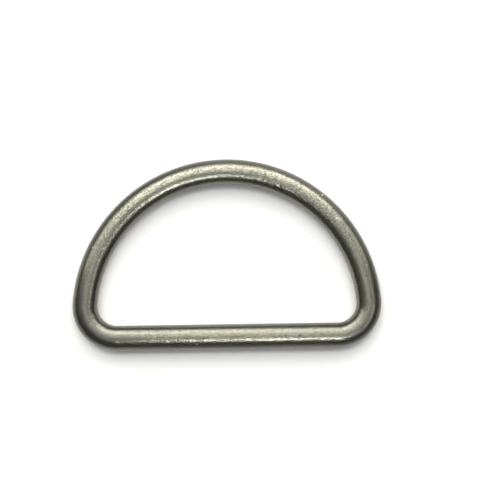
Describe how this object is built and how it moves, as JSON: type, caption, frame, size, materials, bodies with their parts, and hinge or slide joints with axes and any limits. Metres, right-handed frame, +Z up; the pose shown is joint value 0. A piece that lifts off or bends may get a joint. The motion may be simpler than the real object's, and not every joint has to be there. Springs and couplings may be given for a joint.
{
  "type": "d ring",
  "caption": "D-shaped ring of round wire in antique nickel, with a straight bar for a strap and a rounded bow for a hook or second strap.",
  "frame": {"origin": "middle of the ring's box, on the surface that it lies on", "axes": "+X along the straight bar, +Y from the bar to the top of the bow, +Z up through the wire; the ring lies flat"},
  "size_m": [0.0454, 0.0278, 0.0037],
  "materials": {
    "antique_nickel": "satin antique nickel plate over a casting: grey with a faint olive cast, finely speckled, with a few small pits and nicks"
  },
  "bodies": {
    "root": {"ring": "antique_nickel"}
  },
  "joints": []
}
